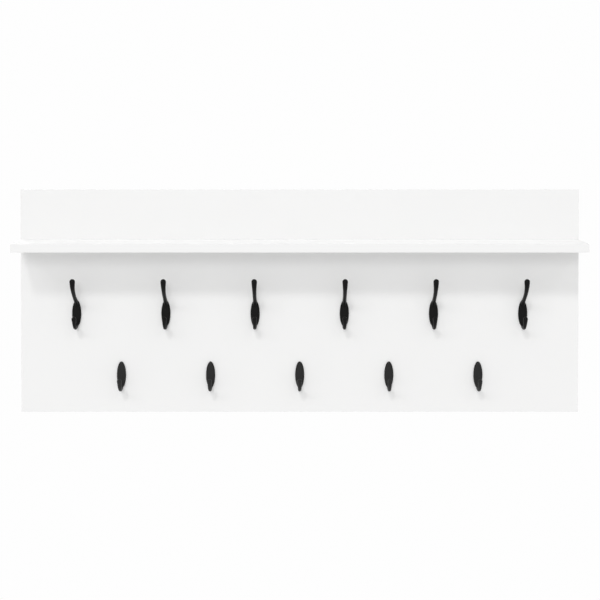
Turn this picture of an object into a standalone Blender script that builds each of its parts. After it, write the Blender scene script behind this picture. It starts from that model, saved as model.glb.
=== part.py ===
"""Wall hook rack: a board that hangs flat on a wall, a narrow shelf across it, and two rows of hooks.

Six double (hat-and-coat) hooks stand in a row under the shelf, and five single hooks stand in a
lower row, halfway between them. Every hook is held by two machine screws driven from behind the
board, so no fixing shows from the front.

Metres, +Z up. The origin is the centre of the panel's back face, which lies against the wall.
+X is to the right for someone facing the rack, and the front faces -Y.
"""
import math

import bmesh
import bpy

MM = 0.001

# Boards: melamine-faced panels with a glued band on every edge that shows.
PANEL_WIDTH = 1000 * MM
PANEL_HEIGHT = 400 * MM
BOARD = 15 * MM                    # thickness of panel and shelf
SHELF_DEPTH = 110 * MM             # how far the shelf stands out from the panel
SHELF_TOP = 110 * MM               # height of the shelf's top above the panel's centre
BAND = 1 * MM                      # thickness of an edge band
BAND_RADIUS = 0.4 * MM             # its rounded outer edges
GLUE_LINE = 0.2 * MM
GAP = 0.3 * MM                     # between pieces that touch
OVERSHOOT = 1 * MM                 # how far a cutter stands out of what it cuts
SHARP_ANGLE = math.radians(35)     # edges sharper than this stay crisp

# Rows of hooks.
HOOK_PITCH = 160 * MM
DOUBLE_HOOKS = 6
SINGLE_HOOKS = 5
DOUBLE_ROW = -22.5 * MM            # height of the leaves' centres
SINGLE_ROW = -133.2 * MM

# A hook's leaf-shaped foot, an upright ellipse.
LEAF_HALF_WIDTH = 8.2 * MM
LEAF_HALF_HEIGHT = 24.1 * MM
LEAF_EDGE = 2.2 * MM               # height of its upright rim above the panel
LEAF_BEVEL = 1.6 * MM              # width of the slope inside the rim
LEAF_FACE = 4.0 * MM               # height at the inner side of that slope
LEAF_CROWN = 4.7 * MM              # height along its middle
LEAF_CROWN_INSET = 4.8 * MM
LEAF_SIDES = 24

# The round bars that grow out of a leaf, in millimetres from the leaf's centre on the panel's face:
# (distance out, height, radius) at points along each.
# Both start slim inside the leaf and rise out of its face.
COAT_HOOK = [(2.4, -9.0, 1.9), (3.4, -16.0, 2.8), (5.5, -21.8, 3.4), (12.5, -24.0, 3.2),
             (20.5, -23.9, 3.1), (28.5, -21.0, 3.1), (35.0, -14.4, 3.5), (39.0, -6.0, 4.3)]
HAT_PRONG = [(2.4, 9.0, 1.9), (3.8, 15.5, 3.1), (8.5, 21.5, 3.6), (18.5, 26.5, 3.5), (29.0, 31.5, 3.4),
             (40.0, 37.8, 3.5), (49.5, 44.8, 3.7), (56.3, 52.5, 4.2), (58.5, 62.0, 5.0)]
BAR_SIDES = 8
TIP_RINGS = (30, 58, 80)           # degrees round the ball at a bar's end

# Screws, all driven from the back. Heads are countersunk at 90 degrees.
ROUND_SIDES = 10
HOOK_SCREW_RADIUS = 2.0 * MM       # M4
HOOK_SCREW_HEAD = 4.0 * MM
HOOK_SCREW_LENGTH = 18 * MM
HOOK_SCREW_SPREAD = 14 * MM        # above and below the leaf's centre
SHELF_SCREW_RADIUS = 2.0 * MM
SHELF_SCREW_HEAD = 4.0 * MM
SHELF_SCREW_LENGTH = 50 * MM
SHELF_SCREWS = 5
SHELF_SCREW_PITCH = 225 * MM
HANGER_SCREW_RADIUS = 1.4 * MM
HANGER_SCREW_HEAD = 2.8 * MM
HANGER_SCREW_LENGTH = 12 * MM
HANGER_SCREW_SINK = 0.3 * MM
HEAD_SINK = 0.5 * MM               # board screws end this far below the back face
BORE_CLEARANCE = 0.3 * MM          # radial, between a screw and its bore
HEAD_CLEARANCE = 0.45 * MM         # radial, between its head and the countersink
BORE_END = 0.5 * MM                # room past the end of a screw or dowel
RECESS_MOUTH = 0.38                # drive recess, as parts of the head's radius
RECESS_FLOOR = 0.2
RECESS_DEPTH = 0.35
MACHINE_TIP = 0.8                  # radius of a screw's tip, as a part of its shank's
WOOD_TIP = 0.2

# Beech dowels between panel and shelf, halfway between the shelf's screws.
DOWELS = 4
DOWEL_RADIUS = 4 * MM
DOWEL_LENGTH = 30 * MM
DOWEL_IN_PANEL = 9.6 * MM
DOWEL_CHAMFER = 0.8 * MM

# Keyhole hanger plates, let into the back of the panel.
HANGER_X = 400 * MM
HANGER_Z = 165 * MM
PLATE_RADIUS = 9 * MM              # half its width, and its round ends
PLATE_END = 12 * MM                # from its middle to the centre of a round end
PLATE = 1.5 * MM
PLATE_SINK = 0.2 * MM
PLATE_SCREW_SPREAD = 15.5 * MM
KEYHOLE_RADIUS = 4.5 * MM          # the entry for a wall screw's head
KEYHOLE_LOW = -4 * MM
SLOT_RADIUS = 2.3 * MM             # the slot that rests on the wall screw's shank
SLOT_HIGH = 6 * MM
HEAD_ROOM_RADIUS = 5.3 * MM        # space routed behind the keyhole for that head
HEAD_ROOM_DEPTH = 9 * MM
HALF_TURN_STEPS = 6                # facets in half a circle

PANEL_FRONT = -BOARD
SHELF_BACK = PANEL_FRONT - GAP
SHELF_FRONT = PANEL_FRONT - SHELF_DEPTH
SHELF_MIDDLE = SHELF_TOP - BOARD / 2


# ---- materials and objects ----

def material(name, colour, roughness, metallic=0.0):
    """A plain Principled material."""
    made = bpy.data.materials.new(name)
    made.use_nodes = True
    shader = made.node_tree.nodes["Principled BSDF"]
    shader.inputs["Base Color"].default_value = (*colour, 1.0)
    shader.inputs["Roughness"].default_value = roughness
    shader.inputs["Metallic"].default_value = metallic
    return made


def clear_scene():
    for old in list(bpy.data.objects):
        bpy.data.objects.remove(old, do_unlink=True)


def link(name, mesh, surface=None, parent=None, location=(0, 0, 0)):
    """Put a mesh into the scene as a named object."""
    made = bpy.data.objects.new(name, mesh)
    bpy.context.scene.collection.objects.link(made)
    made.location = location
    made.parent = parent
    if surface and not mesh.materials:
        mesh.materials.append(surface)
    return made


def mesh_of(name, bm, smooth=True):
    """Turn a bmesh into a mesh with its faces pointing out."""
    bmesh.ops.recalc_face_normals(bm, faces=bm.faces)
    mesh = bpy.data.meshes.new(name)
    bm.to_mesh(mesh)
    bm.free()
    if smooth:
        mesh.shade_smooth()
        mesh.set_sharp_from_angle(angle=SHARP_ANGLE)
    return mesh


def combine(target, other, operation):
    """Join a second solid to the target, or cut it away. The second solid is only a guide."""
    other.hide_render = True
    other.display_type = 'WIRE'
    modifier = target.modifiers.new(other.name, 'BOOLEAN')
    modifier.operation = operation
    modifier.solver = 'EXACT'
    modifier.object = other


# ---- shapes ----

def add_solid(bm, rings):
    """Skin a closed solid over rings that have equal numbers of points, with a flat face at each end."""
    loops = [[bm.verts.new(point) for point in ring] for ring in rings]
    for near, far in zip(loops, loops[1:]):
        for i in range(len(near)):
            j = (i + 1) % len(near)
            bm.faces.new((near[i], near[j], far[j], far[i]))
    bm.faces.new(loops[0])
    bm.faces.new(loops[-1])


def add_turned(bm, x, z, profile):
    """A turned solid on a front-to-back axis. The profile is (depth behind the back face, radius)."""
    turn = 2 * math.pi / ROUND_SIDES
    add_solid(bm, [[(x + radius * math.cos(i * turn), -depth, z + radius * math.sin(i * turn))
                    for i in range(ROUND_SIDES)] for depth, radius in profile])


def add_prism(bm, outline, x, z, depth_from, depth_to):
    """An outline of (x, z) points extruded from front to back."""
    add_solid(bm, [[(x + px, -depth, z + pz) for px, pz in outline] for depth in (depth_from, depth_to)])


def arc(centre_z, radius, start, end, steps):
    """Points (x, z) round a centre on the Z axis, from one angle in degrees to another."""
    angles = [math.radians(start + (end - start) * i / steps) for i in range(steps + 1)]
    return [(radius * math.cos(a), centre_z + radius * math.sin(a)) for a in angles]


def stadium(radius, low, high):
    """An upright slot shape with round ends centred at the heights low and high."""
    return arc(high, radius, 0, 180, HALF_TURN_STEPS) + arc(low, radius, 180, 360, HALF_TURN_STEPS)


def keyhole():
    """A round entry below with a narrower slot running up from it."""
    side = math.degrees(math.acos(SLOT_RADIUS / KEYHOLE_RADIUS))
    slot_end = arc(SLOT_HIGH, SLOT_RADIUS, 0, 180, HALF_TURN_STEPS)
    return slot_end + arc(KEYHOLE_LOW, KEYHOLE_RADIUS, 180 - side, 360 + side, 2 * HALF_TURN_STEPS)


def box_shape(low, high):
    """A box between two corners."""
    bm = bmesh.new()
    outline = ((low[0], low[1]), (high[0], low[1]), (high[0], high[1]), (low[0], high[1]))
    add_solid(bm, [[(x, y, z) for x, y in outline] for z in (low[2], high[2])])
    return bm


def edge_band(name, low, high, axis, side, round_ends, surface, parent):
    """A glued strip between two corners, with the edges of its outer face rounded."""
    bm = box_shape(low, high)
    outer = high[axis] if side > 0 else low[axis]
    extent = [high[i] - low[i] for i in range(3)]
    long_axis = extent.index(max(extent))
    edges = []
    for edge in bm.edges:
        ends = [vert.co for vert in edge.verts]
        on_outer_face = all(abs(end[axis] - outer) < GLUE_LINE / 2 for end in ends)
        runs_along = abs(ends[0][long_axis] - ends[1][long_axis]) > BOARD * 2
        if on_outer_face and (runs_along or round_ends):
            edges.append(edge)
    bmesh.ops.bevel(bm, geom=edges, offset=BAND_RADIUS, segments=2, profile=0.5, affect='EDGES')
    return link(name, mesh_of(name, bm), surface, parent)


def spread(count, pitch):
    """Positions along X, centred on the rack."""
    return [(i - (count - 1) / 2) * pitch for i in range(count)]


# ---- boards ----

def screw_bore(bm, x, z, radius, head, sink, depth):
    """A countersunk hole from the back face to a depth, wider than its screw all round."""
    bore = radius + BORE_CLEARANCE
    mouth = head + HEAD_CLEARANCE
    add_turned(bm, x, z, [(-OVERSHOOT, mouth), (sink, mouth), (sink + mouth - bore, bore), (depth, bore)])


def plain_bore(bm, x, z, radius, depth_from, depth_to):
    """A parallel hole between two depths."""
    add_turned(bm, x, z, [(depth_from, radius), (depth_to, radius)])


def hook_places():
    """Name, x and height of every hook."""
    places = []
    for kind, count, row in (("double", DOUBLE_HOOKS, DOUBLE_ROW), ("single", SINGLE_HOOKS, SINGLE_ROW)):
        places += [(f"{kind}_hook_{i + 1}", x, row) for i, x in enumerate(spread(count, HOOK_PITCH))]
    return places


def hook_screw_places():
    """Name, x and height of every hook's two screws."""
    return [(f"{name}_screw_{end}", x, z + rise) for name, x, z in hook_places()
            for end, rise in (("upper", HOOK_SCREW_SPREAD), ("lower", -HOOK_SCREW_SPREAD))]


def shelf_screw_places():
    return [(f"shelf_screw_{i + 1}", x) for i, x in enumerate(spread(SHELF_SCREWS, SHELF_SCREW_PITCH))]


def dowel_places():
    return [(f"shelf_dowel_{i + 1}", x) for i, x in enumerate(spread(DOWELS, SHELF_SCREW_PITCH))]


def make_panel(surface, band_surface, parent):
    """The back panel with its bores and pockets, and the bands on its four edges."""
    core_x = PANEL_WIDTH / 2 - BAND - GLUE_LINE
    core_z = PANEL_HEIGHT / 2 - BAND - GLUE_LINE
    bm = box_shape((-core_x, PANEL_FRONT, -core_z), (core_x, 0, core_z))
    panel = link("back_panel", mesh_of("back_panel", bm, smooth=False), surface, parent)

    bm = bmesh.new()
    for _, x, z in hook_screw_places():
        screw_bore(bm, x, z, HOOK_SCREW_RADIUS, HOOK_SCREW_HEAD, HEAD_SINK, BOARD + OVERSHOOT)
    for _, x in shelf_screw_places():
        screw_bore(bm, x, SHELF_MIDDLE, SHELF_SCREW_RADIUS, SHELF_SCREW_HEAD, HEAD_SINK, BOARD + OVERSHOOT)
    for x in (-HANGER_X, HANGER_X):
        pocket = stadium(PLATE_RADIUS + GAP, -PLATE_END, PLATE_END)
        add_prism(bm, pocket, x, HANGER_Z, -OVERSHOOT, PLATE_SINK + PLATE + GAP)
    combine(panel, link("panel_bores_from_back", mesh_of("panel_bores_from_back", bm)), 'DIFFERENCE')

    bm = bmesh.new()
    for _, x in dowel_places():
        dowel_depth = BOARD - DOWEL_IN_PANEL - GAP
        plain_bore(bm, x, SHELF_MIDDLE, DOWEL_RADIUS + GAP, dowel_depth, BOARD + OVERSHOOT)
    for x in (-HANGER_X, HANGER_X):
        head_room = stadium(HEAD_ROOM_RADIUS, KEYHOLE_LOW, SLOT_HIGH)
        add_prism(bm, head_room, x, HANGER_Z, PLATE, HEAD_ROOM_DEPTH)
        for rise in (PLATE_SCREW_SPREAD, -PLATE_SCREW_SPREAD):
            radius = HANGER_SCREW_RADIUS + BORE_CLEARANCE
            plain_bore(bm, x, HANGER_Z + rise, radius, PLATE, HANGER_SCREW_LENGTH + 2 * BORE_END)
    combine(panel, link("panel_inner_pockets", mesh_of("panel_inner_pockets", bm)), 'DIFFERENCE')

    outer_x, outer_z = PANEL_WIDTH / 2, PANEL_HEIGHT / 2
    for name, side in (("top", 1), ("bottom", -1)):
        inner, outer = sorted((side * (outer_z - BAND), side * outer_z))
        edge_band(f"panel_edge_{name}", (-outer_x, PANEL_FRONT, inner), (outer_x, 0, outer),
                  2, side, True, band_surface, parent)
    for name, side in (("right", 1), ("left", -1)):
        inner, outer = sorted((side * (outer_x - BAND), side * outer_x))
        edge_band(f"panel_edge_{name}", (inner, PANEL_FRONT, -core_z), (outer, 0, core_z),
                  0, side, False, band_surface, parent)


def make_shelf(surface, band_surface, parent):
    """The shelf board with the bores in its back edge, and its bands."""
    core_x = PANEL_WIDTH / 2 - BAND - GLUE_LINE
    core_front = SHELF_FRONT + BAND + GLUE_LINE
    low_z = SHELF_TOP - BOARD
    bm = box_shape((-core_x, core_front, low_z), (core_x, SHELF_BACK, SHELF_TOP))
    shelf = link("shelf_board", mesh_of("shelf_board", bm, smooth=False), surface, parent)

    bm = bmesh.new()
    for _, x in shelf_screw_places():
        screw_end = HEAD_SINK + SHELF_SCREW_LENGTH
        plain_bore(bm, x, SHELF_MIDDLE, SHELF_SCREW_RADIUS + BORE_CLEARANCE, BOARD, screw_end + BORE_END)
    for _, x in dowel_places():
        dowel_end = BOARD - DOWEL_IN_PANEL + DOWEL_LENGTH
        plain_bore(bm, x, SHELF_MIDDLE, DOWEL_RADIUS + GAP, BOARD, dowel_end + BORE_END)
    combine(shelf, link("shelf_bores", mesh_of("shelf_bores", bm)), 'DIFFERENCE')

    outer_x = PANEL_WIDTH / 2
    edge_band("shelf_edge_front", (-outer_x, SHELF_FRONT, low_z), (outer_x, SHELF_FRONT + BAND, SHELF_TOP),
              1, -1, True, band_surface, parent)
    for name, side in (("right", 1), ("left", -1)):
        inner, outer = sorted((side * (outer_x - BAND), side * outer_x))
        edge_band(f"shelf_edge_{name}", (inner, core_front, low_z), (outer, SHELF_BACK, SHELF_TOP),
                  0, side, False, band_surface, parent)


# ---- hooks ----

def smooth_run(knots, steps):
    """A smooth curve through the knots (Catmull-Rom), as (out, up, radius) in metres."""
    padded = [knots[0]] + knots + [knots[-1]]
    run = []
    for before, start, end, after in zip(padded, padded[1:], padded[2:], padded[3:]):
        for step in range(steps):
            t = step / steps
            run.append([MM * 0.5 * (2 * b + (c - a) * t + (2 * a - 5 * b + 4 * c - d) * t ** 2
                                    + (3 * b - a - 3 * c + d) * t ** 3)
                        for a, b, c, d in zip(before, start, end, after)])
    run.append([MM * value for value in knots[-1]])
    return run


def bar_ring(out, up, radius, direction):
    """A ring round a bar whose centre line stays in the hook's middle plane."""
    along_out, along_up = direction
    turn = 2 * math.pi / BAR_SIDES
    ring = []
    for i in range(BAR_SIDES):
        sideways = radius * math.cos((i + 0.5) * turn)
        across = radius * math.sin((i + 0.5) * turn)
        ring.append((sideways, -(out - across * along_up), up + across * along_out))
    return ring


def bar_mesh(name, knots, steps):
    """A round bar along the knots, with a flat root inside the leaf and a ball at its end."""
    run = smooth_run(knots, steps)
    rings = []
    for i, (out, up, radius) in enumerate(run):
        before, after = run[max(i - 1, 0)], run[min(i + 1, len(run) - 1)]
        length = math.hypot(after[0] - before[0], after[1] - before[1])
        direction = ((after[0] - before[0]) / length, (after[1] - before[1]) / length)
        rings.append(bar_ring(out, up, radius, direction))
    for degrees in TIP_RINGS:
        reach = radius * math.sin(math.radians(degrees))
        rings.append(bar_ring(out + reach * direction[0], up + reach * direction[1],
                              radius * math.cos(math.radians(degrees)), direction))
    bm = bmesh.new()
    add_solid(bm, rings)
    return mesh_of(name, bm)


def leaf_mesh():
    """The leaf-shaped foot, with an upright rim, a sloping border and a gently crowned face."""
    turn = 2 * math.pi / LEAF_SIDES
    rings = []
    for out, inset in ((GAP, 0), (LEAF_EDGE, 0), (LEAF_FACE, LEAF_BEVEL), (LEAF_CROWN, LEAF_CROWN_INSET)):
        ring = []
        for i in range(LEAF_SIDES):
            across, up = math.cos(i * turn), math.sin(i * turn)
            ring.append(((LEAF_HALF_WIDTH - inset) * across, -out, (LEAF_HALF_HEIGHT - inset) * up))
        rings.append(ring)
    bm = bmesh.new()
    add_solid(bm, rings)
    return mesh_of("leaf", bm)


def hook_mesh(name, bars):
    """One cast hook: its leaf and bars joined into one solid, less two threaded holes in its back."""
    bm = bmesh.new()
    screw_end = HEAD_SINK + HOOK_SCREW_LENGTH - BOARD
    for rise in (HOOK_SCREW_SPREAD, -HOOK_SCREW_SPREAD):
        plain_bore(bm, 0, rise, HOOK_SCREW_RADIUS + BORE_CLEARANCE, -OVERSHOOT, screw_end + GAP)
    guides = [link(f"{name}_bar_{i}", bar) for i, bar in enumerate(bars)]
    bores = link(f"{name}_bores", mesh_of(f"{name}_bores", bm))
    whole = link(name, leaf_mesh())
    for guide in guides:
        combine(whole, guide, 'UNION')
    combine(whole, bores, 'DIFFERENCE')

    bpy.context.view_layer.update()
    evaluated = whole.evaluated_get(bpy.context.evaluated_depsgraph_get())
    mesh = bpy.data.meshes.new_from_object(evaluated)
    mesh.name = name
    for used in guides + [bores, whole]:
        bpy.data.objects.remove(used, do_unlink=True)
    mesh.shade_smooth()
    mesh.set_sharp_from_angle(angle=SHARP_ANGLE)
    return mesh


def make_hooks(surface, parent):
    """Every hook stands on the panel's front face and shares its row's mesh."""
    coat_hook = bar_mesh("coat_hook", COAT_HOOK, 2)
    hat_prong = bar_mesh("hat_prong", HAT_PRONG, 1)
    shapes = {"double": hook_mesh("double_hook", [coat_hook, hat_prong]),
              "single": hook_mesh("single_hook", [coat_hook])}
    for name, x, z in hook_places():
        link(name, shapes[name.split("_")[0]], surface, parent, (x, PANEL_FRONT, z))


# ---- fasteners and hangers ----

def make_screw(name, x, z, radius, head, sink, length, tip, surface, parent):
    """A countersunk screw with a drive recess, its head at the back and its tip towards the front."""
    profile = [(sink + head * RECESS_DEPTH, head * RECESS_FLOOR), (sink, head * RECESS_MOUTH), (sink, head),
               (sink + head - radius, radius), (sink + length - (radius - tip), radius), (sink + length, tip)]
    bm = bmesh.new()
    add_turned(bm, x, z, profile)
    link(name, mesh_of(name, bm), surface, parent)


def make_fasteners(steel, beech, parent):
    """Hook screws, shelf screws and the shelf's dowels."""
    for name, x, z in hook_screw_places():
        make_screw(name, x, z, HOOK_SCREW_RADIUS, HOOK_SCREW_HEAD, HEAD_SINK, HOOK_SCREW_LENGTH,
                   HOOK_SCREW_RADIUS * MACHINE_TIP, steel, parent)
    for name, x in shelf_screw_places():
        make_screw(name, x, SHELF_MIDDLE, SHELF_SCREW_RADIUS, SHELF_SCREW_HEAD, HEAD_SINK,
                   SHELF_SCREW_LENGTH, SHELF_SCREW_RADIUS * WOOD_TIP, steel, parent)
    for name, x in dowel_places():
        start = BOARD - DOWEL_IN_PANEL
        end = start + DOWEL_LENGTH
        narrow = DOWEL_RADIUS - DOWEL_CHAMFER
        bm = bmesh.new()
        add_turned(bm, x, SHELF_MIDDLE, [(start, narrow), (start + DOWEL_CHAMFER, DOWEL_RADIUS),
                                         (end - DOWEL_CHAMFER, DOWEL_RADIUS), (end, narrow)])
        link(name, mesh_of(name, bm), beech, parent)


def make_hangers(steel, parent):
    """Two keyhole plates in the back of the panel, each held by two screws."""
    bm = bmesh.new()
    add_prism(bm, stadium(PLATE_RADIUS, -PLATE_END, PLATE_END), 0, 0, PLATE_SINK, PLATE_SINK + PLATE)
    plate = mesh_of("hanger_plate", bm, smooth=False)
    bm = bmesh.new()
    add_prism(bm, keyhole(), 0, 0, -OVERSHOOT, PLATE + OVERSHOOT)
    for rise in (PLATE_SCREW_SPREAD, -PLATE_SCREW_SPREAD):
        screw_bore(bm, 0, rise, HANGER_SCREW_RADIUS, HANGER_SCREW_HEAD, PLATE_SINK, PLATE + OVERSHOOT)
    holes = mesh_of("hanger_holes", bm)
    for side, x in (("left", -HANGER_X), ("right", HANGER_X)):
        place = (x, 0, HANGER_Z)
        made = link(f"hanger_plate_{side}", plate, steel, parent, place)
        combine(made, link(f"hanger_holes_{side}", holes, location=place), 'DIFFERENCE')
        for end, rise in (("upper", PLATE_SCREW_SPREAD), ("lower", -PLATE_SCREW_SPREAD)):
            make_screw(f"hanger_{side}_screw_{end}", x, HANGER_Z + rise, HANGER_SCREW_RADIUS,
                       HANGER_SCREW_HEAD, HANGER_SCREW_SINK, HANGER_SCREW_LENGTH,
                       HANGER_SCREW_RADIUS * WOOD_TIP, steel, parent)


def main():
    clear_scene()
    rack = bpy.data.objects.new("wall_hook_rack", None)
    bpy.context.scene.collection.objects.link(rack)

    white_melamine = material("white_melamine", (0.86, 0.86, 0.85), 0.45)
    white_band = material("white_edge_band", (0.86, 0.86, 0.85), 0.4)
    black_coating = material("black_powder_coating", (0.015, 0.015, 0.016), 0.42)
    zinc_steel = material("zinc_plated_steel", (0.62, 0.63, 0.64), 0.35, 1.0)
    beech = material("beech", (0.55, 0.38, 0.22), 0.65)

    make_panel(white_melamine, white_band, rack)
    make_shelf(white_melamine, white_band, rack)
    make_hooks(black_coating, rack)
    make_fasteners(zinc_steel, beech, rack)
    make_hangers(zinc_steel, rack)


main()
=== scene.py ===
"""Looks for the wall hook rack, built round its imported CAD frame.

Every piece's place, and the outer sizes of boards, bands, screws, dowels and plates, come from the
frame's nodes. The curves of the hooks and the shapes cut into the pieces are given here. Metres, +Z up,
the rack's front faces -Y and the origin is the centre of the panel's back face.
"""
import math

import bmesh
import bpy
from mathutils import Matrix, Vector


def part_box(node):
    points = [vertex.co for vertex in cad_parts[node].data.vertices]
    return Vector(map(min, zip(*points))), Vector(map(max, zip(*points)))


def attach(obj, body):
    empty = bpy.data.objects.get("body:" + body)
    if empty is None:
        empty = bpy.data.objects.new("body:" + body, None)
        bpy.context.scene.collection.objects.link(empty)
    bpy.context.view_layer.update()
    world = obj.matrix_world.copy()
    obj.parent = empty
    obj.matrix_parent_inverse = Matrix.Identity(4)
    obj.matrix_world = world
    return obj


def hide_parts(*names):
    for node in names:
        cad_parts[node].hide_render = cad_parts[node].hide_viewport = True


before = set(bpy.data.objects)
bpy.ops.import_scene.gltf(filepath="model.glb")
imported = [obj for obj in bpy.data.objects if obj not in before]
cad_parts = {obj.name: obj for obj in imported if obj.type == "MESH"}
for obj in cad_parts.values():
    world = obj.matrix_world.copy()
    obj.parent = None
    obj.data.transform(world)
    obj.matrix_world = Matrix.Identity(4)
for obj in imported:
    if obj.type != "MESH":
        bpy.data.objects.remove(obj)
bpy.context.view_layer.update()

MM = 0.001
NODES = sorted(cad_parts)

# Camera: straight in front of the rack, a little higher than the rack's top, and looking slightly down.
CAMERA_DISTANCE = 2.966            # from the wall
CAMERA_HEIGHT = 0.313              # above the panel's centre
CAMERA_LENS = 98.95                # in millimetres
SENSOR_WIDTH = 36                  # in millimetres
CAMERA_TILT = 1.7                  # degrees down
DROP = 0.208                       # sensor shift that keeps the panel's sides nearly upright
SIDESTEP = 0.0005                  # sensor shift that centres the rack


# ---- meshes ----

def add_solid(bm, rings):
    """Skin a closed solid over rings that have equal numbers of points, with a flat face at each end."""
    loops = [[bm.verts.new(point) for point in ring] for ring in rings]
    for near, far in zip(loops, loops[1:]):
        for i in range(len(near)):
            j = (i + 1) % len(near)
            bm.faces.new((near[i], near[j], far[j], far[i]))
    bm.faces.new(loops[0])
    bm.faces.new(loops[-1])


def add_turned(bm, x, z, profile, sides=48):
    """A turned solid on a front-to-back axis, from a profile of (y, radius)."""
    turn = 2 * math.pi / sides
    add_solid(bm, [[(x + r * math.cos(i * turn), y, z + r * math.sin(i * turn)) for i in range(sides)]
                   for y, r in profile])


def mesh_of(name, bm, sharp=35):
    """A smooth-shaded mesh with its faces pointing out, and its edges over an angle kept sharp."""
    bmesh.ops.recalc_face_normals(bm, faces=bm.faces)
    mesh = bpy.data.meshes.new(name)
    bm.to_mesh(mesh)
    bm.free()
    mesh.shade_smooth()
    mesh.set_sharp_from_angle(angle=math.radians(sharp))
    return mesh


def link(name, mesh, location=(0, 0, 0)):
    made = bpy.data.objects.new(name, mesh)
    bpy.context.scene.collection.objects.link(made)
    made.location = location
    return made


def cut(target, cutter):
    modifier = target.modifiers.new(cutter.name, 'BOOLEAN')
    modifier.operation = 'DIFFERENCE'
    modifier.solver = 'EXACT'
    modifier.object = cutter


def baked(target, helpers, sharp=35):
    """The target's mesh with its modifiers applied. The target and its helpers are removed."""
    bpy.context.view_layer.update()
    evaluated = target.evaluated_get(bpy.context.evaluated_depsgraph_get())
    mesh = bpy.data.meshes.new_from_object(evaluated)
    mesh.name = target.name
    for used in [target] + helpers:
        bpy.data.objects.remove(used, do_unlink=True)
    mesh.shade_smooth()
    mesh.set_sharp_from_angle(angle=math.radians(sharp))
    return mesh


def show(name, mesh, node, material, location=(0, 0, 0)):
    """A finished piece: it stands for one CAD node and rides on the rack."""
    if not mesh.materials:
        mesh.materials.append(material)
    piece = link(name, mesh, location)
    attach(piece, "root")
    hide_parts(node)
    return piece


def middle(node):
    low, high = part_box(node)
    return (low + high) / 2


# ---- materials ----

class Nodes:
    """A short way to write a material's node tree."""

    def __init__(self, name):
        self.material = bpy.data.materials.new(name)
        self.material.use_nodes = True
        self.tree = self.material.node_tree
        self.shader = self.tree.nodes["Principled BSDF"]

    def add(self, kind, inputs=None, **settings):
        node = self.tree.nodes.new(kind)
        for key, value in settings.items():
            setattr(node, key, value)
        for key, value in (inputs or {}).items():
            if isinstance(value, bpy.types.NodeSocket):
                self.tree.links.new(value, node.inputs[key])
            else:
                node.inputs[key].default_value = value
        return node

    def place(self, scale=(1, 1, 1)):
        """Object coordinates, stretched."""
        where = self.add("ShaderNodeTexCoord")
        return self.add("ShaderNodeMapping", {"Vector": where.outputs["Object"], "Scale": scale}).outputs[0]

    def noise(self, scale, detail=3, roughness=0.5, stretch=(1, 1, 1)):
        return self.add("ShaderNodeTexNoise", {"Vector": self.place(stretch), "Scale": scale,
                                               "Detail": detail, "Roughness": roughness}).outputs[0]

    def ramp(self, noise, low, high):
        """Map the middle of a noise's range onto a range of numbers."""
        return self.add("ShaderNodeMapRange", {"Value": noise, "From Min": 0.3, "From Max": 0.7,
                                               "To Min": low, "To Max": high}).outputs[0]

    def blend(self, value, first, second):
        """Mix two colours by a value."""
        mixed = self.add("ShaderNodeMix", data_type='RGBA')
        self.tree.links.new(value, mixed.inputs[0])
        mixed.inputs[6].default_value = (*first, 1)
        mixed.inputs[7].default_value = (*second, 1)
        return mixed.outputs[2]

    def bump(self, height, distance, strength):
        return self.add("ShaderNodeBump", {"Height": height, "Distance": distance,
                                           "Strength": strength}).outputs[0]

    def finish(self, links=None, **constants):
        for key, value in constants.items():
            self.shader.inputs[key.replace("_", " ")].default_value = value
        for key, socket in (links or {}).items():
            self.tree.links.new(socket, self.shader.inputs[key])
        return self.material


def melamine(name, tone, roughness):
    """White melamine facing: nearly even colour over a fine pearl texture."""
    n = Nodes(name)
    cloud = n.noise(scale=6, detail=2)
    colour = n.blend(n.ramp(cloud, 0, 1), tuple(channel * 0.992 for channel in tone), tone)
    gloss = n.ramp(n.noise(scale=180), roughness - 0.04, roughness + 0.05)
    pearl = n.bump(n.noise(scale=750, detail=2, roughness=0.45), distance=0.03 * MM, strength=0.5)
    return n.finish({"Base Color": colour, "Roughness": gloss, "Normal": pearl}, IOR=1.5)


def powder_coat(name, tone, sheen):
    """Black powder coating: fine pebbled skin with a soft sheen."""
    n = Nodes(name)
    fleck = n.noise(scale=2600, detail=2)
    colour = n.blend(n.ramp(fleck, 0, 1), (tone * 0.7,) * 3, (tone * 1.3,) * 3)
    gloss = n.ramp(n.noise(scale=420), 0.42, 0.53)
    skin = n.bump(n.noise(scale=1500, detail=2, roughness=0.4), distance=0.06 * MM, strength=0.45)
    return n.finish({"Base Color": colour, "Roughness": gloss, "Normal": skin},
                    IOR=1.45, Specular_IOR_Level=sheen)


def zinc():
    """Bright zinc plating with faint blue and straw tints."""
    n = Nodes("zinc_plating")
    tint = n.blend(n.ramp(n.noise(scale=90), 0, 1), (0.60, 0.63, 0.67), (0.70, 0.68, 0.62))
    gloss = n.ramp(n.noise(scale=700, detail=4, roughness=0.6), 0.24, 0.42)
    grain = n.bump(n.noise(scale=2200), distance=0.02 * MM, strength=0.4)
    return n.finish({"Base Color": tint, "Roughness": gloss, "Normal": grain}, Metallic=1.0)


def beech():
    """Raw turned beech: fine grain along the dowel, which lies front to back."""
    n = Nodes("raw_beech")
    grain = n.noise(scale=260, detail=6, roughness=0.6, stretch=(1, 0.08, 1))
    colour = n.blend(n.ramp(grain, 0, 1), (0.42, 0.26, 0.14), (0.62, 0.43, 0.27))
    relief = n.bump(grain, distance=0.1 * MM, strength=0.5)
    return n.finish({"Base Color": colour, "Normal": relief}, Roughness=0.7)


# ---- boards and bands ----

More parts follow.
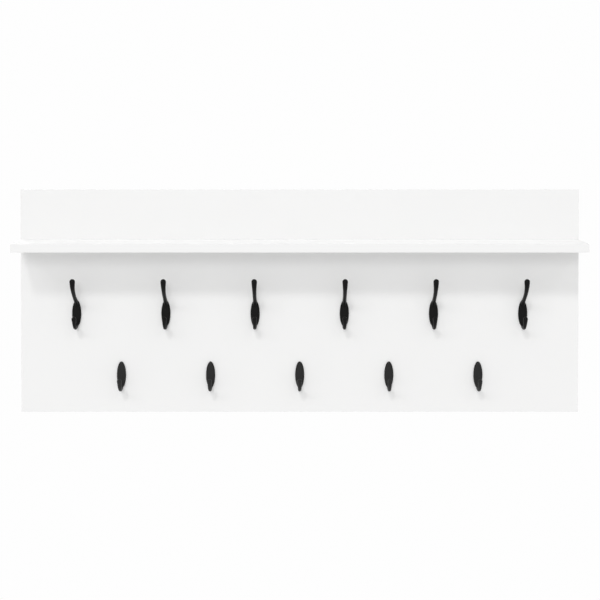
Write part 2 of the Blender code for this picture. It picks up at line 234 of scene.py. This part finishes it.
WHITE = (0.80, 0.80, 0.797)
BORE_CLEARANCE = 0.3 * MM          # round a shank or a dowel
HEAD_CLEARANCE = 0.45 * MM         # round a countersunk head
PLATE_GAP = 0.3 * MM               # round a hanger plate in its pocket
OVERSHOOT = 1 * MM                 # how far a cut runs past what it clears
SHELF_SPARE = 0.5 * MM             # past the tip of a fastener in the shelf
HOOK_SHANK = 2.0 * MM              # radius of the hook and shelf screws
HANGER_SHANK = 1.4 * MM            # radius of the hanger plates' screws
THREAD_RADIUS = 2.3 * MM           # of the holes in a hook
BAND_RADIUS = 0.4 * MM
GLUE_LINE = 0.2 * MM               # closed here: the band meets its board
SEAM = 0.02 * MM                   # left between the shelf's back and the panel
LONG_EDGE = 30 * MM                # a side band's edges along its length are longer than this
TOUCHING = 0.001 * MM              # a corner this near a face counts as on it

# Keyholes: heights are from a plate's middle.
KEYHOLE_RADIUS = 4.5 * MM          # of the round entry
SLOT_RADIUS = 2.3 * MM             # of the slot above it
KEYHOLE_LOW = -4 * MM              # the entry's centre
SLOT_HIGH = 6 * MM                 # the centre of the slot's round end
HEAD_ROOM_RADIUS = 5.3 * MM        # of the hollow behind, for a wall screw's head
HEAD_ROOM_END = 9 * MM             # how deep that hollow is from the panel's back
INSIDE_POCKET = 1.5 * MM           # a depth that is inside the plate's pocket, where deeper cuts start


def screw_size(node):
    """Where a screw's axis is, its head's radius, and where it starts and ends from back to front."""
    low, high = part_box(node)
    centre = (low + high) / 2
    return centre.x, centre.z, (high.x - low.x) / 2, high.y, low.y


def shank_radius(node):
    return HANGER_SHANK if node.startswith("hanger") else HOOK_SHANK


def add_screw_bore(bm, node, front):
    """A countersunk hole for a screw, from the back face to the given y."""
    x, z, head, start, _ = screw_size(node)
    bore = shank_radius(node) + BORE_CLEARANCE
    mouth = head + HEAD_CLEARANCE
    add_turned(bm, x, z, [(OVERSHOOT, mouth), (start, mouth), (start - mouth + bore, bore), (front, bore)])


def upright_slot(x, z, radius, low, high, y, steps=24):
    """A slot shape with round ends, as a ring of points at one y."""
    ring = []
    for centre, start in ((high, 0), (low, math.pi)):
        for i in range(steps + 1):
            angle = start + math.pi * i / steps
            ring.append((x + radius * math.cos(angle), y, z + centre + radius * math.sin(angle)))
    return ring


def box_shape(low, high):
    bm = bmesh.new()
    corners = ((low.x, low.y), (high.x, low.y), (high.x, high.y), (low.x, high.y))
    add_solid(bm, [[(x, y, z) for x, y in corners] for z in (low.z, high.z)])
    return bm


def make_panel(material):
    """The panel with its countersunk holes, plate pockets and dowel holes."""
    low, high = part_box("back_panel")
    panel = link("panel", mesh_of("panel", box_shape(low, high)))

    first = bmesh.new()
    second = bmesh.new()
    for node in NODES:
        node_low, node_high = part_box(node)
        centre = (node_low + node_high) / 2
        radius = (node_high.x - node_low.x) / 2
        if "_screw" in node and not node.startswith("hanger"):
            add_screw_bore(first, node, low.y - OVERSHOOT)
        elif "_screw" in node:
            bore = HANGER_SHANK + BORE_CLEARANCE
            add_turned(second, centre.x, centre.z, [(-INSIDE_POCKET, bore), (node_low.y - OVERSHOOT, bore)])
        elif node.startswith("hanger_plate"):
            end = (node_high.z - node_low.z) / 2 - radius
            add_solid(first, [upright_slot(centre.x, centre.z, radius + PLATE_GAP, -end, end, y)
                              for y in (OVERSHOOT, node_low.y - PLATE_GAP)])
            add_solid(second, [upright_slot(centre.x, centre.z, HEAD_ROOM_RADIUS, KEYHOLE_LOW, SLOT_HIGH, y)
                               for y in (-INSIDE_POCKET, -HEAD_ROOM_END)])
        elif "dowel" in node:
            radius += BORE_CLEARANCE
            add_turned(second, centre.x, centre.z,
                       [(node_high.y + BORE_CLEARANCE, radius), (low.y - OVERSHOOT, radius)])
    cutters = [link("panel_bores", mesh_of("panel_bores", first)),
               link("panel_pockets", mesh_of("panel_pockets", second))]
    for cutter in cutters:
        cut(panel, cutter)
    show("panel_board", baked(panel, cutters), "back_panel", material)


def make_shelf(material):
    """The shelf with the holes for its screws and dowels in its back edge, which meets the panel."""
    low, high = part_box("shelf_board")
    high.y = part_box("back_panel")[0].y - SEAM
    shelf = link("shelf", mesh_of("shelf", box_shape(low, high)))
    bm = bmesh.new()
    for node in NODES:
        if node.startswith(("shelf_screw", "shelf_dowel")):
            centre = middle(node)
            node_low, node_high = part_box(node)
            radius = (node_high.x - node_low.x) / 2 if "dowel" in node else shank_radius(node)
            radius += BORE_CLEARANCE
            add_turned(bm, centre.x, centre.z,
                       [(high.y + OVERSHOOT, radius), (node_low.y - SHELF_SPARE, radius)])
    cutter = link("shelf_bores", mesh_of("shelf_bores", bm))
    cut(shelf, cutter)
    show("shelf_top_board", baked(shelf, [cutter]), "shelf_board", material)


def make_bands(material):
    """Each band is a thin strip whose outer face has rounded edges."""
    middle_of_rack = {"panel": middle("back_panel"), "shelf": middle("shelf_board")}
    for node in NODES:
        if "_edge_" not in node:
            continue
        low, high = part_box(node)
        extent = list(high - low)
        thin = extent.index(min(extent))
        outer = high[thin] if middle(node)[thin] > middle_of_rack[node.split("_")[0]][thin] else low[thin]
        if outer == high[thin]:
            low[thin] -= GLUE_LINE
        else:
            high[thin] += GLUE_LINE
        if node in ("shelf_edge_left", "shelf_edge_right"):
            high.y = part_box("back_panel")[0].y - SEAM
        bm = box_shape(low, high)
        runs_to_ends = node.endswith(("top", "bottom", "front"))
        edges = []
        for edge in bm.edges:
            ends = [vert.co for vert in edge.verts]
            if all(abs(end[thin] - outer) < TOUCHING for end in ends):
                if runs_to_ends or (ends[0] - ends[1]).length > LONG_EDGE:
                    edges.append(edge)
        bmesh.ops.bevel(bm, geom=edges, offset=BAND_RADIUS, segments=5, profile=0.5, affect='EDGES')
        strip = show(node + "_strip", mesh_of(node, bm, sharp=50), node, material)
        strip.modifiers.new("flat_faces", 'WEIGHTED_NORMAL').keep_sharp = True


# ---- hooks ----

# Places along the bars, in millimetres from the leaf's centre on the panel's face:
# (distance out, height, radius), the same as the CAD hooks'.
COAT_HOOK = [(2.4, -9.0, 1.9), (3.4, -16.0, 2.8), (5.5, -21.8, 3.4), (12.5, -24.0, 3.2),
             (20.5, -23.9, 3.1), (28.5, -21.0, 3.1), (35.0, -14.4, 3.5), (39.0, -6.0, 4.3)]
HAT_PRONG = [(2.4, 9.0, 1.9), (3.8, 15.5, 3.1), (8.5, 21.5, 3.6), (18.5, 26.5, 3.5), (29.0, 31.5, 3.4),
             (40.0, 37.8, 3.5), (49.5, 44.8, 3.7), (56.3, 52.5, 4.2), (58.5, 62.0, 5.0)]
TIP_RINGS = range(10, 90, 10)      # degrees round the ball at a bar's end

# The leaf: half its width and height, and its section from the panel out, as (distance out, inset from
# its outline), in millimetres.
LEAF_HALF_WIDTH, LEAF_HALF_HEIGHT = 8.2, 24.1
LEAF_SECTION = [(0.05, 0.0), (1.9, 0.0), (2.4, 0.15), (3.9, 1.5),
                (4.15, 2.0), (4.45, 3.4), (4.65, 4.8), (4.7, 6.2)]
SKIN = 0.5 * MM                    # size of the casting's surface grid


def smooth_run(knots, steps):
    """A smooth curve through the knots (Catmull-Rom), as (out, up, radius) in metres."""
    padded = [knots[0]] + knots + [knots[-1]]
    run = []
    for before, start, end, after in zip(padded, padded[1:], padded[2:], padded[3:]):
        for step in range(steps):
            t = step / steps
            run.append([MM * 0.5 * (2 * b + (c - a) * t + (2 * a - 5 * b + 4 * c - d) * t ** 2
                                    + (3 * b - a - 3 * c + d) * t ** 3)
                        for a, b, c, d in zip(before, start, end, after)])
    run.append([MM * value for value in knots[-1]])
    return run


def add_bar(bm, knots, sides=32, steps=8):
    """A round bar along the knots, ending in a ball."""
    run = smooth_run(knots, steps)
    turn = 2 * math.pi / sides
    rings = []

    def ring(out, up, radius, direction):
        return [(radius * math.cos(i * turn), -(out - radius * math.sin(i * turn) * direction[1]),
                 up + radius * math.sin(i * turn) * direction[0]) for i in range(sides)]

    for i, (out, up, radius) in enumerate(run):
        before, after = run[max(i - 1, 0)], run[min(i + 1, len(run) - 1)]
        length = math.hypot(after[0] - before[0], after[1] - before[1])
        direction = ((after[0] - before[0]) / length, (after[1] - before[1]) / length)
        rings.append(ring(out, up, radius, direction))
    for degrees in TIP_RINGS:
        reach = radius * math.sin(math.radians(degrees))
        rings.append(ring(out + reach * direction[0], up + reach * direction[1],
                          radius * math.cos(math.radians(degrees)), direction))
    add_solid(bm, rings)


def add_leaf(bm, sides=128):
    """The leaf-shaped foot: upright rim, sloping border and gently crowned face."""
    turn = 2 * math.pi / sides
    rings = []
    for out, inset in LEAF_SECTION:
        rings.append([(MM * (LEAF_HALF_WIDTH - inset) * math.cos(i * turn), -MM * out,
                       MM * (LEAF_HALF_HEIGHT - inset) * math.sin(i * turn)) for i in range(sides)])
    add_solid(bm, rings)


def hook_mesh(name, bars, screws, origin):
    """One casting: leaf and bars melted into one skin with soft fillets, then bored for its screws."""
    bm = bmesh.new()
    add_leaf(bm)
    for bar in bars:
        add_bar(bm, bar)
    hook = link(name, mesh_of(name, bm))
    remesh = hook.modifiers.new("skin", 'REMESH')
    remesh.mode = 'VOXEL'
    remesh.voxel_size = SKIN
    soften = hook.modifiers.new("fillets", 'SMOOTH')
    soften.factor = 0.5
    soften.iterations = 5

    bm = bmesh.new()
    for node in screws:
        x, z, _, _, end = screw_size(node)
        depth = end - origin.y - BORE_CLEARANCE
        add_turned(bm, x - origin.x, z - origin.z,
                   [(OVERSHOOT, THREAD_RADIUS), (depth, THREAD_RADIUS)], sides=24)
    bores = link(name + "_bores", mesh_of(name + "_bores", bm))
    cut(hook, bores)
    return baked(hook, [bores], sharp=60)


def make_hooks():
    """All the double hooks share one casting, and all the single ones another. The real hooks share one
    paint: the singles' slightly paler black is painted light, standing for the brighter light on the lower
    row, away from the shelf's shade.
    """
    coatings = {"double": powder_coat("black_powder_coating", 0.003, 0.15),
                # painted light: the single hooks' paler black (0.018 against 0.003) is a lit copy of the one
                # black coating
                "single": powder_coat("painted_light_black_powder_coating", 0.018, 0.17)}
    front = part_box("back_panel")[0].y
    shapes = {"double": [COAT_HOOK, HAT_PRONG], "single": [COAT_HOOK]}
    meshes = {}
    for node in NODES:
        if "_hook_" not in node or "screw" in node:
            continue
        kind = node.split("_")[0]
        screws = [node + "_screw_lower", node + "_screw_upper"]
        lower, upper = (middle(screw) for screw in screws)
        origin = Vector((lower.x, front, (lower.z + upper.z) / 2))
        if kind not in meshes:
            meshes[kind] = hook_mesh(kind + "_hook_casting", shapes[kind], screws, origin)
        show(node + "_casting", meshes[kind], node, coatings[kind], origin)


# ---- fasteners and hangers ----

HEAD_EASE = 0.15 * MM              # chamfer round a screw head's top
HEAD_RIM = 0.25 * MM               # how deep its upright rim goes
MACHINE_TIP = (0.5, 0.6)           # a tip's length and end radius, as parts of the shank's radius
WOOD_TIP = (3, 0.12)

# A screw's cross recess, as parts of the head's radius: half an arm's length, half its width, its depth.
RECESS_ARM, RECESS_HALF_WIDTH, RECESS_DEPTH = 0.55, 0.11, 0.42
RECESS_FLOOR = (0.35, 0.8)         # an arm's length and width at its floor, as parts of those at the top
RECESS_START = 0.3 * MM            # its cutter starts this far above the head,
RECESS_FLARE = (1.1, 1.05)         # and is this much larger there, across and up

PLATE_EASE = 0.15 * MM             # chamfer round a hanger plate's back
DOWEL_CHAMFER = 0.8 * MM
DOWEL_SIDES = 96
FLUTES = 16
FLUTE_DEPTH = 0.25 * MM


def make_screws(material):
    """Countersunk screws with a cross recess, one mesh for each size."""
    meshes = {}
    for node in NODES:
        if "_screw" not in node:
            continue
        x, z, head, start, end = screw_size(node)
        shank = shank_radius(node)
        length = start - end
        size = (round(head / MM, 1), round(length / MM, 1))
        if size not in meshes:
            meshes[size] = screw_mesh(f"screw_{len(meshes)}", head, shank, length, "hook_" in node)
        show(node + "_zinc", meshes[size], node, material, (x, start, z))


def screw_mesh(name, head, shank, length, machine):
    """A screw whose head's top is at y 0 and whose tip is at -length."""
    taper, end = MACHINE_TIP if machine else WOOD_TIP
    bm = bmesh.new()
    add_turned(bm, 0, 0, [(0, head - HEAD_EASE), (-HEAD_EASE, head), (-HEAD_RIM, head),
                          (-HEAD_RIM - (head - shank), shank),
                          (-length + shank * taper, shank), (-length, shank * end)], sides=40)
    screw = link(name, mesh_of(name, bm))
    arm, half = head * RECESS_ARM, head * RECESS_HALF_WIDTH
    floor_arm, floor_half = arm * RECESS_FLOOR[0], half * RECESS_FLOOR[1]
    cutters = []
    for way, top, floor in (("across", (arm, half), (floor_arm, floor_half)),
                            ("up", (half, arm), (floor_half, floor_arm))):
        bm = bmesh.new()
        rings = []
        for y, reach_x, reach_z in ((RECESS_START, top[0] * RECESS_FLARE[0], top[1] * RECESS_FLARE[1]),
                                    (-head * RECESS_DEPTH, *floor)):
            rings.append([(reach_x, y, reach_z), (-reach_x, y, reach_z),
                          (-reach_x, y, -reach_z), (reach_x, y, -reach_z)])
        add_solid(bm, rings)
        cutter = link(f"{name}_recess_{way}", mesh_of("recess", bm))
        cut(screw, cutter)
        cutters.append(cutter)
    return baked(screw, cutters)


def keyhole_ring(y, steps=40):
    """Round entry below, narrower slot above, as a ring of points at one y."""
    ring = []
    for i in range(steps + 1):
        angle = math.pi * i / steps
        ring.append((SLOT_RADIUS * math.cos(angle), y, SLOT_HIGH + SLOT_RADIUS * math.sin(angle)))
    side = math.acos(SLOT_RADIUS / KEYHOLE_RADIUS)
    for i in range(steps + 1):
        angle = math.pi - side + (math.pi + 2 * side) * i / steps
        ring.append((KEYHOLE_RADIUS * math.cos(angle), y, KEYHOLE_LOW + KEYHOLE_RADIUS * math.sin(angle)))
    return ring


def make_hangers(material):
    """Keyhole plates with round ends, a keyhole and two countersunk holes."""
    for node in ("hanger_plate_left", "hanger_plate_right"):
        low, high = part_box(node)
        centre = (low + high) / 2
        radius = (high.x - low.x) / 2
        end = (high.z - low.z) / 2 - radius
        bm = bmesh.new()
        add_solid(bm, [upright_slot(0, 0, radius - inset, -end, end, y, steps=32) for y, inset in
                       ((low.y, 0), (high.y - PLATE_EASE, 0), (high.y, PLATE_EASE))])
        plate = link(node + "_blank", mesh_of(node, bm))
        bm = bmesh.new()
        add_solid(bm, [keyhole_ring(y) for y in (high.y + OVERSHOOT, low.y - OVERSHOOT)])
        for screw in NODES:
            if screw.startswith(node.replace("_plate", "") + "_screw"):
                x, z, head, _, _ = screw_size(screw)
                mouth = head + HEAD_CLEARANCE
                bore = HANGER_SHANK + BORE_CLEARANCE
                add_turned(bm, x - centre.x, z - centre.z,
                           [(OVERSHOOT, mouth), (high.y, mouth), (high.y - mouth + bore, bore),
                            (low.y - OVERSHOOT, bore)])
        cutter = link(node + "_holes", mesh_of(node + "_holes", bm))
        cut(plate, cutter)
        show(node + "_steel", baked(plate, [cutter]), node, material, (centre.x, 0, centre.z))


def make_dowels(material):
    """Fluted dowels with chamfered ends."""
    for node in NODES:
        if "dowel" not in node:
            continue
        low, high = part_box(node)
        centre, radius = (low + high) / 2, (high.x - low.x) / 2
        narrow = radius - DOWEL_CHAMFER
        rings = []
        for y, outer in ((high.y, narrow), (high.y - DOWEL_CHAMFER, radius),
                         (low.y + DOWEL_CHAMFER, radius), (low.y, narrow)):
            ring = []
            for i in range(DOWEL_SIDES):
                angle = 2 * math.pi * i / DOWEL_SIDES
                reach = outer - FLUTE_DEPTH * max(0, math.cos(FLUTES * angle)) ** 2
                ring.append((reach * math.cos(angle), y - centre.y, reach * math.sin(angle)))
            rings.append(ring)
        bm = bmesh.new()
        add_solid(bm, rings)
        show(node + "_beech", mesh_of(node, bm, sharp=50), node, material, centre)


# ---- studio ----

SKY_FILL = 0.69                    # brightness of the backdrop, as light
FLOOR_FILL = 0.93                  # brightness of the floor, as light
PAPER = 0.99                       # brightness of both, as seen
FLOOR_DROP = 1.1                   # from the panel's centre down to the floor
FLOOR_REACH = 30                   # from the floor's middle to its sides


def surroundings(tree, output, kind, fill):
    """White surroundings: as light they are a little weaker than as they look."""
    path = tree.nodes.new("ShaderNodeLightPath")
    mix = tree.nodes.new("ShaderNodeMixShader")
    for i, strength in ((1, fill), (2, PAPER)):
        source = tree.nodes.new(kind)
        source.inputs["Color"].default_value = (1, 1, 1, 1)
        source.inputs["Strength"].default_value = strength
        tree.links.new(source.outputs[0], mix.inputs[i])
    tree.links.new(path.outputs["Is Camera Ray"], mix.inputs[0])
    tree.links.new(mix.outputs[0], output.inputs["Surface"])


def make_studio():
    world = bpy.data.worlds.new("studio")
    bpy.context.scene.world = world
    world.use_nodes = True
    world.node_tree.nodes.clear()
    tree = world.node_tree
    surroundings(tree, tree.nodes.new("ShaderNodeOutputWorld"), "ShaderNodeBackground", SKY_FILL)

    paper = bpy.data.materials.new("paper_floor")
    paper.use_nodes = True
    paper.node_tree.nodes.clear()
    tree = paper.node_tree
    surroundings(tree, tree.nodes.new("ShaderNodeOutputMaterial"), "ShaderNodeEmission", FLOOR_FILL)
    bm = bmesh.new()
    bmesh.ops.create_grid(bm, x_segments=1, y_segments=1, size=FLOOR_REACH)
    floor = link("paper_floor", mesh_of("paper_floor", bm), (0, 0, -FLOOR_DROP))
    floor.data.materials.append(paper)

    # Each lamp: direction that its light travels (right, into the wall, up), strength and size in degrees.
    lamps = (("key", (0.22, 1.0, -0.773), 0.45, 6.5),
             ("key_wide", (0.52, 1.0, -0.773), 0.12, 8.0),
             ("key_wider", (0.82, 1.0, -0.773), 0.12, 8.0),
             ("low", (0.05, 1.0, -0.253), 0.45, 12.0),
             ("side", (-0.45, 1.0, -0.70), 0.07, 5.0),
             ("top", (0.0, 0.0, -1.0), 0.94, 5.0),
             ("back", (0.35, -1.0, -0.6), 0.35, 6.0))
    for name, travel, strength, degrees in lamps:
        lamp = bpy.data.lights.new(name, 'SUN')
        lamp.energy = strength
        lamp.angle = math.radians(degrees)
        made = bpy.data.objects.new(name, lamp)
        bpy.context.scene.collection.objects.link(made)
        made.rotation_euler = Vector(travel).to_track_quat('-Z', 'Y').to_euler()


def make_camera():
    camera = bpy.data.cameras.new("camera")
    camera.lens = CAMERA_LENS
    camera.sensor_width = SENSOR_WIDTH
    camera.shift_x = SIDESTEP
    camera.shift_y = -DROP
    made = bpy.data.objects.new("camera", camera)
    bpy.context.scene.collection.objects.link(made)
    made.location = (0, -CAMERA_DISTANCE, CAMERA_HEIGHT)
    made.rotation_euler = (math.radians(90 - CAMERA_TILT), 0, 0)
    bpy.context.scene.camera = made


make_camera()
make_studio()
white = melamine("white_melamine", WHITE, 0.45)
make_panel(white)
make_shelf(white)
make_bands(melamine("white_edge_band", WHITE, 0.40))
make_hooks()
zinc_plating = zinc()
make_screws(zinc_plating)
make_hangers(zinc_plating)
make_dowels(beech())
bpy.context.scene.view_settings.view_transform = 'Standard'
